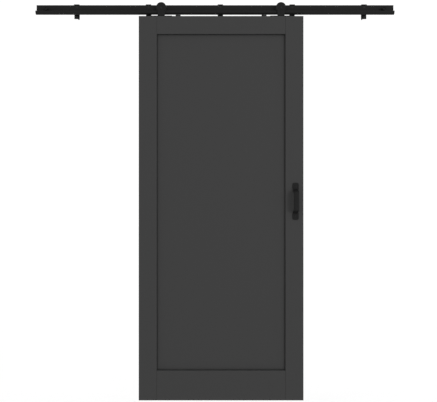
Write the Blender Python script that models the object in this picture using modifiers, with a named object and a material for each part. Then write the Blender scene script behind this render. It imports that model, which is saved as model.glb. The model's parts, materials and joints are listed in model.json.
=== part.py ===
"""Sliding barn door set: a wall-hung J-section track, two strap hangers with their wheels,
a one-panel door leaf and its pull handle.

Units are metres. X runs along the track, Y runs into the wall and Z is up. The wall's face is
Y = 0, and the viewer stands at -Y. The origin is on the wall's face, at the centre of the
middle wall bracket. Heights named *_HEIGHT on the track count from the rail's underside.
"""

import math

import bmesh
import bpy
from mathutils import Matrix, Vector

GAP = 0.0003  # between two pieces that touch

# Rail: a J-section with its web at the back and its trough towards the viewer
RAIL_LENGTH = 2.000
RAIL_CENTRE_X = -0.030
RAIL_UNDERSIDE_Z = -0.022
RAIL_THICKNESS = 0.0035
WEB_BACK_Y = -0.012
WEB_TOP_HEIGHT = 0.0571
LIP_TOP_HEIGHT = 0.0197
TROUGH_OUTER_RADIUS = 0.0135

# Wall brackets, with the screws that hold them and the bolts that hold the rail to them
BRACKET_COUNT = 5
BRACKET_PITCH = 0.403
BRACKET_WIDTH = 0.030
BRACKET_THICKNESS = 0.004
BRACKET_BOTTOM_HEIGHT = -0.0173
PAD_HEIGHTS = (0.030, 0.034)
LAG_SCREW_HEIGHT = -0.0063
LAG_SCREW_RADIUS = 0.003
LAG_SCREW_REACH = 0.050
RAIL_BOLT_HEIGHT = 0.046
RAIL_BOLT_RADIUS = 0.003
RAIL_BOLT_HEAD_RADIUS = 0.006

# End stops
STOP_FROM_RAIL_END = 0.057
BUMPER_RADIUS = 0.010
BUMPER_LENGTH = 0.0215
STOP_BOLT_RADIUS = 0.003

# Door leaf
DOOR_WIDTH = 0.9144
DOOR_HEIGHT = 2.1336
DOOR_THICKNESS = 0.035
DOOR_CENTRE_X = 0.004
DOOR_FRONT_Y = -0.049
DOOR_TO_RAIL = 0.014
STILE_WIDTH = 0.100
TOP_RAIL_WIDTH = 0.100
BOTTOM_RAIL_WIDTH = 0.166
GROOVE_DEPTH = 0.010
PANEL_THICKNESS = 0.009
DOOR_EDGE = 0.0012

# Hangers
HANGER_OFFSET = 0.333
STRAP_WIDTH = 0.040
STRAP_THICKNESS = 0.0045
STRAP_FRONT_Y = -0.0455
STRAP_BEND_RADIUS = 0.006
HEAD_RADIUS = 0.0274
HEAD_HEIGHT = 0.0372
FOOT_LENGTH = 0.120
FOOT_FRONT_Y = -0.0415
FOOT_BACK_Y = -0.0165
FOOT_SCREW_OFFSETS = (-0.045, -0.010, 0.010, 0.045)
FOOT_SCREW_Y = -0.0285
FOOT_SCREW_RADIUS = 0.00225
FOOT_SCREW_LENGTH = 0.038

# Wheels and their bearings; distances along an axle count from the wheel's middle plane
AXLE_HEIGHT = 0.032
AXLE_RADIUS = 0.004
WHEEL_WIDTH = 0.014
TREAD_CROWN_RADIUS = 0.008
BEARING_WIDTH = 0.007
BEARING_OUTER_RADIUS = 0.011
OUTER_RING_BORE = 0.009
INNER_RING_RADIUS = 0.0062
AXLE_NUT_THICKNESS = 0.004

# Anti-jump discs, which pass just under the rail
DISC_OFFSET = 0.2397
DISC_RADIUS = 0.014
DISC_HEIGHT = 0.0122
DISC_SCREW_RADIUS = 0.00225

# Pull handle
HANDLE_FROM_DOOR_EDGE = 0.044
HANDLE_ABOVE_DOOR_BOTTOM = 1.105
HANDLE_LENGTH = 0.205
HANDLE_REACH = 0.046
HANDLE_PAD = (0.034, 0.040, 0.004)
HANDLE_PAD_CORNER = 0.009
GRIP_WIDTH = 0.030
GRIP_THICKNESS = 0.007
GRIP_HALF_LENGTH = 0.046
HANDLE_SCREW_OFFSET = 0.081
HANDLE_SCREW_RADIUS = 0.002

# Worked out from the dimensions above
WEB_FRONT_Y = WEB_BACK_Y - RAIL_THICKNESS
TROUGH_Y = WEB_BACK_Y - TROUGH_OUTER_RADIUS
TROUGH_INNER_RADIUS = TROUGH_OUTER_RADIUS - RAIL_THICKNESS
WHEEL_RADIUS = AXLE_HEIGHT - RAIL_THICKNESS - GAP
DOOR_TOP_Z = RAIL_UNDERSIDE_Z - DOOR_TO_RAIL
DOOR_BOTTOM_Z = DOOR_TOP_Z - DOOR_HEIGHT
DOOR_MIDDLE_Y = DOOR_FRONT_Y + DOOR_THICKNESS / 2
STRAP_BACK_Y = STRAP_FRONT_Y + STRAP_THICKNESS
FOOT_BOTTOM_Z = DOOR_TOP_Z + GAP
FOOT_TOP_Z = FOOT_BOTTOM_Z + STRAP_THICKNESS
SIDES = (("left", -1), ("right", 1))

# Directions that an outline's thickness, or a turned piece's top, can face
ALONG_TRACK = Matrix(((0, 0, 1), (1, 0, 0), (0, 1, 0))).to_4x4()
TOWARDS_VIEWER = Matrix(((1, 0, 0), (0, 0, -1), (0, 1, 0))).to_4x4()
UPWARDS = Matrix.Identity(4)


def above_rail(height):
    """The Z of a height that counts from the rail's underside."""
    return RAIL_UNDERSIDE_Z + height


def clear_scene():
    for item in list(bpy.data.objects):
        bpy.data.objects.remove(item, do_unlink=True)


def new_collection(name):
    group = bpy.data.collections.new(name)
    bpy.context.scene.collection.children.link(group)
    return group


def new_material(name, colour, roughness, metallic):
    material = bpy.data.materials.new(name)
    material.use_nodes = True
    shader = material.node_tree.nodes["Principled BSDF"]
    shader.inputs["Base Color"].default_value = (*colour, 1.0)
    shader.inputs["Roughness"].default_value = roughness
    shader.inputs["Metallic"].default_value = metallic
    material.diffuse_color = (*colour, 1.0)
    return material


def adopt(item, name, group, material=None):
    """Names an object, moves it to a collection and gives it its material."""
    item.name = name
    item.data.name = name
    for owner in list(item.users_collection):
        owner.objects.unlink(item)
    group.objects.link(item)
    if material:
        item.data.materials.clear()
        item.data.materials.append(material)
    return item


def shade(item):
    """Smooth shading with its sharp edges kept sharp."""
    item.data.shade_smooth()
    item.data.set_sharp_from_angle(angle=math.radians(35))


def box(low, high):
    """A block between two corners, from the cube primitive."""
    low, high = Vector(low), Vector(high)
    bpy.ops.mesh.primitive_cube_add(size=1, location=(low + high) / 2)
    item = bpy.context.object
    item.scale = high - low
    bpy.ops.object.transform_apply(location=False, rotation=False, scale=True)
    return item


def prism(radius, depth, centre, facing, sides):
    """A cylinder or a hexagon of a given depth, its axis along the facing direction."""
    bpy.ops.mesh.primitive_cylinder_add(radius=radius, depth=depth, vertices=sides)
    item = bpy.context.object
    item.matrix_world = Matrix.Translation(centre) @ facing
    shade(item)
    return item


def arc(centre, radius, start, end, steps):
    """Points along an arc between two angles in degrees."""
    turns = [math.radians(start + (end - start) * i / steps) for i in range(steps + 1)]
    return [
        (centre[0] + radius * math.cos(turn), centre[1] + radius * math.sin(turn))
        for turn in turns
    ]


def plate(outline, thickness, centre, facing):
    """A flat outline with a thickness, as a mesh whose middle plane passes through centre."""
    curve = bpy.data.curves.new("outline", "CURVE")
    curve.dimensions = "2D"
    curve.fill_mode = "BOTH"
    curve.extrude = thickness / 2
    spline = curve.splines.new("POLY")
    spline.points.add(len(outline) - 1)
    for point, (u, v) in zip(spline.points, outline):
        point.co = (u, v, 0, 1)
    spline.use_cyclic_u = True
    drawn = bpy.data.objects.new("outline", curve)
    bpy.context.scene.collection.objects.link(drawn)
    drawn.matrix_world = Matrix.Translation(centre) @ facing
    bpy.context.view_layer.update()
    graph = bpy.context.evaluated_depsgraph_get()
    mesh = bpy.data.meshes.new_from_object(drawn.evaluated_get(graph))
    work = bmesh.new()
    work.from_mesh(mesh)
    bmesh.ops.remove_doubles(work, verts=work.verts, dist=1e-6)
    bmesh.ops.recalc_face_normals(work, faces=work.faces)
    work.to_mesh(mesh)
    work.free()
    item = bpy.data.objects.new("plate", mesh)
    bpy.context.scene.collection.objects.link(item)
    item.matrix_world = drawn.matrix_world
    bpy.data.objects.remove(drawn, do_unlink=True)
    bpy.data.curves.remove(curve)
    shade(item)
    return item


def turned(profile, centre, facing, steps, ring=False):
    """A profile of (radius, height) points turned about the facing direction.

    The profile runs down the outer side from top to bottom. A ring's profile comes back up
    its bore and is closed; a solid's profile starts and ends on the axis.
    """
    mesh = bpy.data.meshes.new("turned")
    points = [(radius, 0, height) for radius, height in profile]
    edges = [(i, i + 1) for i in range(len(points) - 1)]
    if ring:
        edges.append((len(points) - 1, 0))
    mesh.from_pydata(points, edges, [])
    item = bpy.data.objects.new("turned", mesh)
    bpy.context.scene.collection.objects.link(item)
    item.matrix_world = Matrix.Translation(centre) @ facing
    screw = item.modifiers.new("turn", "SCREW")
    screw.axis = "Z"
    screw.steps = steps
    screw.render_steps = steps
    screw.use_merge_vertices = True
    screw.merge_threshold = 1e-5
    screw.use_smooth_shade = True
    return item


def soften(item, width, segments=1):
    """Bevels an object's sharp edges."""
    bevel = item.modifiers.new("edges", "BEVEL")
    bevel.width = width
    bevel.segments = segments
    bevel.limit_method = "ANGLE"
    bevel.angle_limit = math.radians(40)
    return item


def combine(item, tool, operation):
    """Joins a tool to an object, or cuts it away, and files the tool with the cutters."""
    boolean = item.modifiers.new(operation.lower(), "BOOLEAN")
    boolean.operation = operation
    boolean.solver = "EXACT"
    boolean.object = tool
    tool.hide_render = True
    tool.display_type = "WIRE"
    adopt(tool, "tool", CUTTERS)
    return item


def cut(item, tool):
    return combine(item, tool, "DIFFERENCE")


def unite(item, tool):
    return combine(item, tool, "UNION")


def hexagon_radius(across_flats):
    return across_flats / math.sqrt(3)


def drill(item, radius, length, centre, facing, sides=12):
    """Cuts a round hole of a given length, centred on a point."""
    return cut(item, prism(radius, length, centre, facing, sides))


def anchor(name, location):
    """An empty that a group of pieces hangs on, at the place that the group moves about."""
    empty = bpy.data.objects.new(name, None)
    empty.empty_display_size = 0.05
    empty.location = location
    PARTS.objects.link(empty)
    return empty


def hang(items, empty):
    bpy.context.view_layer.update()
    for item in items:
        item.parent = empty
        item.matrix_parent_inverse = empty.matrix_world.inverted()


def bracket_places():
    middle = (BRACKET_COUNT - 1) / 2
    return [(i + 1, (i - middle) * BRACKET_PITCH) for i in range(BRACKET_COUNT)]


def stop_x(sign):
    return RAIL_CENTRE_X + sign * (RAIL_LENGTH / 2 - STOP_FROM_RAIL_END)


def hanger_x(sign):
    return DOOR_CENTRE_X + sign * HANGER_OFFSET


def screw_profile(head_radius, head_height, shank_radius, length, crown=0.0):
    """A round-headed screw, its head's underside at height 0 and its point at the bottom."""
    return [
        (0, head_height),
        (head_radius - crown, head_height),
        (head_radius, head_height - crown),
        (head_radius, 0),
        (shank_radius, 0),
        (shank_radius, -length + 2 * shank_radius),
        (0, -length),
    ]


# Track


def make_rail():
    """The J: up the lip's outside, over its tip, round the trough and up the web."""
    centre = (TROUGH_Y, above_rail(TROUGH_OUTER_RADIUS))
    half = RAIL_THICKNESS / 2
    lip_tip = (TROUGH_Y - TROUGH_OUTER_RADIUS + half, above_rail(LIP_TOP_HEIGHT) - half)
    web_tip = (WEB_BACK_Y - half, above_rail(WEB_TOP_HEIGHT) - half)
    outline = (
        arc(centre, TROUGH_OUTER_RADIUS, 0, -180, 14)
        + arc(lip_tip, half, 180, 0, 4)
        + arc(centre, TROUGH_INNER_RADIUS, -180, 0, 14)
        + arc(web_tip, half, 180, 0, 4)
    )
    rail = plate(outline, RAIL_LENGTH, (RAIL_CENTRE_X, 0, 0), ALONG_TRACK)
    for _, x in bracket_places():
        face = (x, WEB_FRONT_Y, above_rail(RAIL_BOLT_HEIGHT))
        sink = [
            (0, 0.002),
            (RAIL_BOLT_HEAD_RADIUS + GAP + 0.002, 0.002),
            (RAIL_BOLT_RADIUS + GAP, RAIL_BOLT_RADIUS - RAIL_BOLT_HEAD_RADIUS),
            (RAIL_BOLT_RADIUS + GAP, -0.006),
            (0, -0.006),
        ]
        cut(rail, turned(sink, face, TOWARDS_VIEWER, 16))
    for _, sign in SIDES:
        hole = (stop_x(sign), WEB_FRONT_Y, above_rail(AXLE_HEIGHT))
        drill(rail, STOP_BOLT_RADIUS + GAP, 0.012, hole, TOWARDS_VIEWER)
    return [adopt(rail, "rail", PARTS, BLACK_STEEL)]


def make_bracket(number, x):
    """A plate on the wall, a pad behind the web and a ledge over the web's top edge."""
    ledge_bottom = above_rail(WEB_TOP_HEIGHT) + GAP
    ledge_top = ledge_bottom + BRACKET_THICKNESS
    bottom = above_rail(BRACKET_BOTTOM_HEIGHT)
    pad_start, pad_end = (above_rail(height) for height in PAD_HEIGHTS)
    pad_y = WEB_BACK_Y + GAP
    outline = [
        (0, bottom),
        (0, ledge_top),
        (WEB_FRONT_Y, ledge_top),
        (WEB_FRONT_Y, ledge_bottom),
        (pad_y, ledge_bottom),
        (pad_y, pad_end),
        (-BRACKET_THICKNESS, pad_start),
        (-BRACKET_THICKNESS, bottom),
    ]
    bracket = plate(outline, BRACKET_WIDTH, (x, 0, 0), ALONG_TRACK)
    soften(bracket, 0.0006)
    lag_hole = (x, 0, above_rail(LAG_SCREW_HEIGHT))
    drill(bracket, LAG_SCREW_RADIUS + GAP, 0.02, lag_hole, TOWARDS_VIEWER)
    bolt_hole = (x, WEB_BACK_Y, above_rail(RAIL_BOLT_HEIGHT))
    drill(bracket, RAIL_BOLT_RADIUS + GAP, 0.020, bolt_hole, TOWARDS_VIEWER)
    return adopt(bracket, f"wall_bracket_{number}", PARTS, BLACK_STEEL)


def make_lag_screw(number, x):
    """A hexagon head on a flange, and a shank that runs into the wall."""
    seat = (x, -BRACKET_THICKNESS - GAP, above_rail(LAG_SCREW_HEIGHT))
    length = BRACKET_THICKNESS + GAP + LAG_SCREW_REACH
    screw = turned(screw_profile(0.0065, 0.0015, LAG_SCREW_RADIUS, length), seat, TOWARDS_VIEWER, 16)
    head_middle = Vector(seat) + Vector((0, -0.0032, 0))
    unite(screw, prism(hexagon_radius(0.010), 0.0044, head_middle, TOWARDS_VIEWER, 6))
    return adopt(screw, f"lag_screw_{number}", PARTS, BLACK_ZINC)


def make_rail_bolt(number, x):
    """A countersunk bolt, flush with the web, that ends inside the bracket's pad."""
    face = (x, WEB_FRONT_Y, above_rail(RAIL_BOLT_HEIGHT))
    sink = RAIL_BOLT_HEAD_RADIUS - RAIL_BOLT_RADIUS
    profile = [
        (0, -GAP),
        (RAIL_BOLT_HEAD_RADIUS - GAP, -GAP),
        (RAIL_BOLT_RADIUS, -sink),
        (RAIL_BOLT_RADIUS, -0.0125),
        (0, -0.0125),
    ]
    bolt = turned(profile, face, TOWARDS_VIEWER, 16)
    cut(bolt, prism(hexagon_radius(0.004), 0.004, face, TOWARDS_VIEWER, 6))
    return adopt(bolt, f"rail_bolt_{number}", PARTS, BLACK_ZINC)


def make_stop(side, sign):
    """A rubber bumper at wheel height, with a sunk bolt through it and a nut behind the web."""
    seat = (stop_x(sign), WEB_FRONT_Y - GAP, above_rail(AXLE_HEIGHT))
    recess = BUMPER_LENGTH - 0.007
    bore = STOP_BOLT_RADIUS + GAP
    bumper_profile = [
        (0.0060, BUMPER_LENGTH),
        (BUMPER_RADIUS - 0.0012, BUMPER_LENGTH),
        (BUMPER_RADIUS, BUMPER_LENGTH - 0.0012),
        (BUMPER_RADIUS, 0),
        (bore, 0),
        (bore, recess),
        (0.0060, recess),
    ]
    bumper = turned(bumper_profile, seat, TOWARDS_VIEWER, 24, ring=True)
    head = Vector(seat) + Vector((0, -recess - GAP, 0))
    reach = recess + GAP + GAP + RAIL_THICKNESS + 0.0065
    bolt_profile = [
        (0, 0.004),
        (0.0052, 0.004),
        (0.0052, 0),
        (STOP_BOLT_RADIUS, 0),
        (STOP_BOLT_RADIUS, -reach),
        (0, -reach),
    ]
    bolt = turned(bolt_profile, head, TOWARDS_VIEWER, 16)
    cut(bolt, prism(hexagon_radius(0.005), 0.005, head + Vector((0, -0.004, 0)), TOWARDS_VIEWER, 6))
    nut_middle = (seat[0], WEB_BACK_Y + GAP + 0.0025, seat[2])
    nut = prism(hexagon_radius(0.010), 0.005, nut_middle, TOWARDS_VIEWER, 6)
    drill(nut, bore, 0.02, nut_middle, TOWARDS_VIEWER)
    return [
        adopt(bumper, f"stop_bumper_{side}", PARTS, RUBBER),
        adopt(bolt, f"stop_bolt_{side}", PARTS, BLACK_ZINC),
        adopt(nut, f"stop_nut_{side}", PARTS, BLACK_ZINC),
    ]


# Door leaf


def leaf_block(low, high):
    return soften(box(low, high), DOOR_EDGE)


def cut_groove(item, low, high):
    """Cuts the groove that holds the panel and the rails' tenons."""
    half = PANEL_THICKNESS / 2 + GAP
    return cut(
        item,
        box(
            (low[0], DOOR_MIDDLE_Y - half, low[1]),
            (high[0], DOOR_MIDDLE_Y + half, high[1]),
        ),
    )


def make_stile(side, sign):
    outer = DOOR_CENTRE_X + sign * DOOR_WIDTH / 2
    inner = outer - sign * STILE_WIDTH
    left, right = sorted((outer, inner))
    stile = leaf_block(
        (left, DOOR_FRONT_Y, DOOR_BOTTOM_Z),
        (right, DOOR_FRONT_Y + DOOR_THICKNESS, DOOR_TOP_Z),
    )
    deep, past = inner + sign * GROOVE_DEPTH, inner - sign * 0.002
    cut_groove(
        stile,
        (min(deep, past), DOOR_BOTTOM_Z - 0.002),
        (max(deep, past), DOOR_TOP_Z + 0.002),
    )
    hole = (hanger_x(sign) + sign * FOOT_SCREW_OFFSETS[-1], FOOT_SCREW_Y, DOOR_TOP_Z)
    drill(stile, FOOT_SCREW_RADIUS + GAP, 0.08, hole, UPWARDS)
    if side == "right":
        for end in (-1, 1):
            drill(stile, HANDLE_SCREW_RADIUS + GAP, 0.05, handle_screw_place(end), TOWARDS_VIEWER)
    return adopt(stile, f"stile_{side}", PARTS, DOOR_PAINT)


def make_leaf_rail(name, outer_z, width, inward):
    """A top or bottom rail: a block between the stiles, a groove, and a tenon at each end."""
    half = DOOR_WIDTH / 2 - STILE_WIDTH - GAP
    inner_z = outer_z + inward * width
    low_z, high_z = sorted((outer_z, inner_z))
    rail = leaf_block(
        (DOOR_CENTRE_X - half, DOOR_FRONT_Y, low_z),
        (DOOR_CENTRE_X + half, DOOR_FRONT_Y + DOOR_THICKNESS, high_z),
    )
    groove_floor = inner_z - inward * GROOVE_DEPTH
    past = inner_z + inward * 0.002
    cut_groove(
        rail,
        (DOOR_CENTRE_X - half - 0.002, min(groove_floor, past)),
        (DOOR_CENTRE_X + half + 0.002, max(groove_floor, past)),
    )
    reach = half + GROOVE_DEPTH
    tenon_low, tenon_high = sorted((outer_z + inward * 0.002, groove_floor - inward * 0.002))
    unite(
        rail,
        box(
            (DOOR_CENTRE_X - reach, DOOR_MIDDLE_Y - PANEL_THICKNESS / 2, tenon_low),
            (DOOR_CENTRE_X + reach, DOOR_MIDDLE_Y + PANEL_THICKNESS / 2, tenon_high),
        ),
    )
    return adopt(rail, name, PARTS, DOOR_PAINT)


def make_panel():
    side = DOOR_WIDTH / 2 - STILE_WIDTH + GROOVE_DEPTH - GAP
    half = PANEL_THICKNESS / 2
    low_z = DOOR_BOTTOM_Z + BOTTOM_RAIL_WIDTH - GROOVE_DEPTH + GAP
    high_z = DOOR_TOP_Z - TOP_RAIL_WIDTH + GROOVE_DEPTH - GAP
    panel = box(
        (DOOR_CENTRE_X - side, DOOR_MIDDLE_Y - half, low_z),
        (DOOR_CENTRE_X + side, DOOR_MIDDLE_Y + half, high_z),
    )
    return adopt(panel, "door_panel", PARTS, DOOR_PAINT)


def make_leaf():
    top = make_leaf_rail("door_top_rail", DOOR_TOP_Z, TOP_RAIL_WIDTH, -1)
    for _, sign in SIDES:
        for offset in FOOT_SCREW_OFFSETS[:3]:
            hole = (hanger_x(sign) + sign * offset, FOOT_SCREW_Y, DOOR_TOP_Z)
            drill(top, FOOT_SCREW_RADIUS + GAP, 0.08, hole, UPWARDS)
        hole = (DOOR_CENTRE_X + sign * DISC_OFFSET, DOOR_MIDDLE_Y, DOOR_TOP_Z)
        drill(top, DISC_SCREW_RADIUS + GAP, 0.06, hole, UPWARDS)
    bottom = make_leaf_rail("door_bottom_rail", DOOR_BOTTOM_Z, BOTTOM_RAIL_WIDTH, 1)
    stiles = [make_stile(side, sign) for side, sign in SIDES]
    return stiles + [top, bottom, make_panel()]


# Hangers and wheels


def make_strap(side, sign):
    """A keyhole-shaped strap whose foot bends back over the door's top, with a wing each way."""
    x = hanger_x(sign)
    half = STRAP_WIDTH / 2
    bend_z = FOOT_BOTTOM_Z + STRAP_BEND_RADIUS
    head_z = above_rail(HEAD_HEIGHT)
    shoulder = math.degrees(math.acos(half / HEAD_RADIUS))
    keyhole = [(-half, bend_z), (half, bend_z)]
    keyhole += arc((0, head_z), HEAD_RADIUS, -shoulder, 180 + shoulder, 36)
    strap_middle_y = (STRAP_FRONT_Y + STRAP_BACK_Y) / 2
    strap = plate(keyhole, STRAP_THICKNESS, (x, strap_middle_y, 0), TOWARDS_VIEWER)
    bend = (STRAP_FRONT_Y + STRAP_BEND_RADIUS, bend_z)
    overlap_z = bend_z + 0.003
    foot = (
        [(STRAP_FRONT_Y, overlap_z)]
        + arc(bend, STRAP_BEND_RADIUS, 180, 270, 6)
        + [(FOOT_BACK_Y, FOOT_BOTTOM_Z), (FOOT_BACK_Y, FOOT_TOP_Z)]
        + arc(bend, STRAP_BEND_RADIUS - STRAP_THICKNESS, 270, 180, 6)
        + [(STRAP_BACK_Y, overlap_z)]
    )
    unite(strap, plate(foot, STRAP_WIDTH, (x, 0, 0), ALONG_TRACK))
    wing = box(
        (x - FOOT_LENGTH / 2, FOOT_FRONT_Y, FOOT_BOTTOM_Z),
        (x + FOOT_LENGTH / 2, FOOT_BACK_Y, FOOT_TOP_Z),
    )
    unite(strap, wing)
    axle_hole = (x, strap_middle_y, above_rail(AXLE_HEIGHT))
    drill(strap, AXLE_RADIUS + GAP, 0.02, axle_hole, TOWARDS_VIEWER, 24)
    for offset in FOOT_SCREW_OFFSETS:
        hole = (x + offset, FOOT_SCREW_Y, FOOT_TOP_Z)
        drill(strap, FOOT_SCREW_RADIUS + GAP, 0.02, hole, UPWARDS)
    return adopt(strap, f"hanger_strap_{side}", PARTS, BLACK_STEEL)


def make_foot_screws(side, sign):
    screws = []
    profile = screw_profile(0.0045, 0.0025, FOOT_SCREW_RADIUS, FOOT_SCREW_LENGTH, 0.001)
    for number, offset in enumerate(FOOT_SCREW_OFFSETS, 1):
        seat = (hanger_x(sign) + offset, FOOT_SCREW_Y, FOOT_TOP_Z + GAP)
        screw = turned(profile, seat, UPWARDS, 12)
        screws.append(adopt(screw, f"foot_screw_{side}_{number}", PARTS, BLACK_ZINC))
    return screws


def make_axle(side, sign):
    """The pieces that carry a wheel and don't turn, placed along the axle's line."""
    middle = Vector((hanger_x(sign), TROUGH_Y, above_rail(AXLE_HEIGHT)))
    face = BEARING_WIDTH / 2
    strap_front = TROUGH_Y - STRAP_FRONT_Y
    strap_back = TROUGH_Y - STRAP_BACK_Y
    nut_back = face + GAP + AXLE_NUT_THICKNESS
    bore = AXLE_RADIUS + GAP
    head = strap_front + GAP
    bolt_profile = [
        (0, head + 0.0034),
        (0.0036, head + 0.0034),
        (0.0062, head + 0.0016),
        (0.0065, head),
        (AXLE_RADIUS, head),
        (AXLE_RADIUS, -nut_back - 0.0005),
        (0, -nut_back - 0.0005),
    ]
    bolt = turned(bolt_profile, middle, TOWARDS_VIEWER, 24)
    socket = middle + Vector((0, -head - 0.0034, 0))
    cut(bolt, prism(hexagon_radius(0.004), 0.004, socket, TOWARDS_VIEWER, 6))
    spacer_profile = [
        (0.006, strap_back - GAP),
        (0.006, face + GAP),
        (bore, face + GAP),
        (bore, strap_back - GAP),
    ]
    spacer = turned(spacer_profile, middle, TOWARDS_VIEWER, 24, ring=True)
    inner_profile = [
        (INNER_RING_RADIUS, face),
        (INNER_RING_RADIUS, -face),
        (bore, -face),
        (bore, face),
    ]
    inner = turned(inner_profile, middle, TOWARDS_VIEWER, 24, ring=True)
    nut_middle = middle + Vector((0, face + GAP + AXLE_NUT_THICKNESS / 2, 0))
    nut = prism(hexagon_radius(0.013), AXLE_NUT_THICKNESS, nut_middle, TOWARDS_VIEWER, 6)
    drill(nut, bore, 0.02, nut_middle, TOWARDS_VIEWER, 24)
    return [
        adopt(bolt, f"axle_bolt_{side}", PARTS, BLACK_ZINC),
        adopt(spacer, f"axle_spacer_{side}", PARTS, BRIGHT_STEEL),
        adopt(inner, f"bearing_inner_ring_{side}", PARTS, BRIGHT_STEEL),
        adopt(nut, f"axle_nut_{side}", PARTS, BLACK_ZINC),
    ]


def wheel_profile():
    """A crowned tread between two rims, a thin web, and a hub that holds the bearing."""
    edge = WHEEL_WIDTH / 2
    spread = math.degrees(math.asin(edge / TREAD_CROWN_RADIUS))
    crown_centre = (WHEEL_RADIUS - TREAD_CROWN_RADIUS, 0)
    tread = arc(crown_centre, TREAD_CROWN_RADIUS, spread, -spread, 6)
    bore = BEARING_OUTER_RADIUS + GAP
    front = [(bore, 0.0045), (0.014, 0.0045), (0.015, 0.0025), (0.020, 0.0025), (0.021, edge)]
    back = [(radius, -height) for radius, height in reversed(front)]
    return front + tread + back


def make_wheel(side, sign):
    middle = (hanger_x(sign), TROUGH_Y, above_rail(AXLE_HEIGHT))
    wheel = turned(wheel_profile(), middle, TOWARDS_VIEWER, 32, ring=True)
    face = BEARING_WIDTH / 2
    outer_profile = [
        (BEARING_OUTER_RADIUS, face),
        (BEARING_OUTER_RADIUS, -face),
        (OUTER_RING_BORE, -face),
        (OUTER_RING_BORE, face),
    ]
    outer = turned(outer_profile, middle, TOWARDS_VIEWER, 24, ring=True)
    cage_middle = (INNER_RING_RADIUS + OUTER_RING_BORE) / 2
    cage_profile = arc((cage_middle, 0), cage_middle - INNER_RING_RADIUS - GAP, 90, -210, 5)
    cage = turned(cage_profile, middle, TOWARDS_VIEWER, 16, ring=True)
    return [
        adopt(wheel, f"wheel_{side}", PARTS, NYLON),
        adopt(outer, f"bearing_outer_ring_{side}", PARTS, BRIGHT_STEEL),
        adopt(cage, f"bearing_cage_{side}", PARTS, BRIGHT_STEEL),
    ]


def make_disc(side, sign):
    """A disc on the door's top that keeps the wheels from jumping, and its sunk screw."""
    place = (DOOR_CENTRE_X + sign * DISC_OFFSET, DOOR_MIDDLE_Y, DOOR_TOP_Z + GAP)
    bore = DISC_SCREW_RADIUS + GAP
    head_radius, sink = 0.0045, 0.0028
    profile = [
        (head_radius + GAP, DISC_HEIGHT),
        (DISC_RADIUS - 0.001, DISC_HEIGHT),
        (DISC_RADIUS, DISC_HEIGHT - 0.001),
        (DISC_RADIUS, 0),
        (bore, 0),
        (bore, DISC_HEIGHT - sink),
    ]
    disc = turned(profile, place, UPWARDS, 24, ring=True)
    screw_shape = [
        (0, DISC_HEIGHT - GAP),
        (head_radius, DISC_HEIGHT - GAP),
        (DISC_SCREW_RADIUS, DISC_HEIGHT - sink),
        (DISC_SCREW_RADIUS, -0.022),
        (0, -0.026),
    ]
    screw = turned(screw_shape, place, UPWARDS, 12)
    return [
        adopt(disc, f"anti_jump_disc_{side}", PARTS, NYLON),
        adopt(screw, f"anti_jump_screw_{side}", PARTS, BLACK_ZINC),
    ]


# Pull handle


def handle_middle():
    x = DOOR_CENTRE_X + DOOR_WIDTH / 2 - HANDLE_FROM_DOOR_EDGE
    return Vector((x, DOOR_FRONT_Y - GAP, DOOR_BOTTOM_Z + HANDLE_ABOVE_DOOR_BOTTOM))


def handle_screw_place(end):
    return handle_middle() + Vector((0, 0, end * HANDLE_SCREW_OFFSET))


def ribbon(path, thickness):
    """The outline of a strip of a given thickness that follows a path."""
    near, far = [], []
    for i, point in enumerate(path):
        before = Vector(path[max(i - 1, 0)])
        after = Vector(path[min(i + 1, len(path) - 1)])
        along = (after - before).normalized()
        aside = Vector((-along.y, along.x)) * thickness / 2
        near.append(tuple(Vector(point) + aside))
        far.append(tuple(Vector(point) - aside))
    return near + far[::-1]


def grip_path():
    """The grip's middle line, from one pad out along a leg, down the grip and back in."""
    out_y = -(HANDLE_REACH - GRIP_THICKNESS / 2)
    pad_y = -HANDLE_PAD[2] / 2
    leg_start = HANDLE_LENGTH / 2 - HANDLE_PAD[1] + 0.006
    steps = 6
    leg = []
    for i in range(steps + 1):
        share = i / steps
        ease = (1 - math.cos(math.pi * share)) / 2
        leg.append((pad_y + (out_y - pad_y) * ease, leg_start + (GRIP_HALF_LENGTH - leg_start) * share))
    return leg + [(y, -z) for y, z in reversed(leg)]


def make_handle():
    middle = handle_middle()
    handle = plate(ribbon(grip_path(), GRIP_THICKNESS), GRIP_WIDTH, middle, ALONG_TRACK)
    soften(handle, 0.0015)
    pad_x, pad_z, pad_y = HANDLE_PAD
    corner = HANDLE_PAD_CORNER
    for end in (-1, 1):
        pad_centre = middle + Vector((0, -pad_y / 2, end * (HANDLE_LENGTH - pad_z) / 2))
        across, up = pad_x / 2 - corner, pad_z / 2 - corner
        outline = (
            arc((across, up), corner, 0, 90, 5)
            + arc((-across, up), corner, 90, 180, 5)
            + arc((-across, -up), corner, 180, 270, 5)
            + arc((across, -up), corner, 270, 360, 5)
        )
        unite(handle, plate(outline, pad_y, pad_centre, TOWARDS_VIEWER))
    behind = box(
        middle + Vector((-0.03, 0, -0.12)),
        middle + Vector((0.03, 0.02, 0.12)),
    )
    cut(handle, behind)
    for end in (-1, 1):
        drill(handle, HANDLE_SCREW_RADIUS + GAP, 0.02, handle_screw_place(end), TOWARDS_VIEWER)
    return adopt(handle, "pull_handle", PARTS, BLACK_STEEL)


def make_handle_screws():
    screws = []
    for name, end in (("top", 1), ("bottom", -1)):
        seat = handle_screw_place(end) + Vector((0, -HANDLE_PAD[2] - GAP, 0))
        profile = screw_profile(0.004, 0.0022, HANDLE_SCREW_RADIUS, 0.028, 0.001)
        screw = turned(profile, seat, TOWARDS_VIEWER, 12)
        screws.append(adopt(screw, f"handle_screw_{name}", PARTS, BLACK_ZINC))
    return screws


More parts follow.
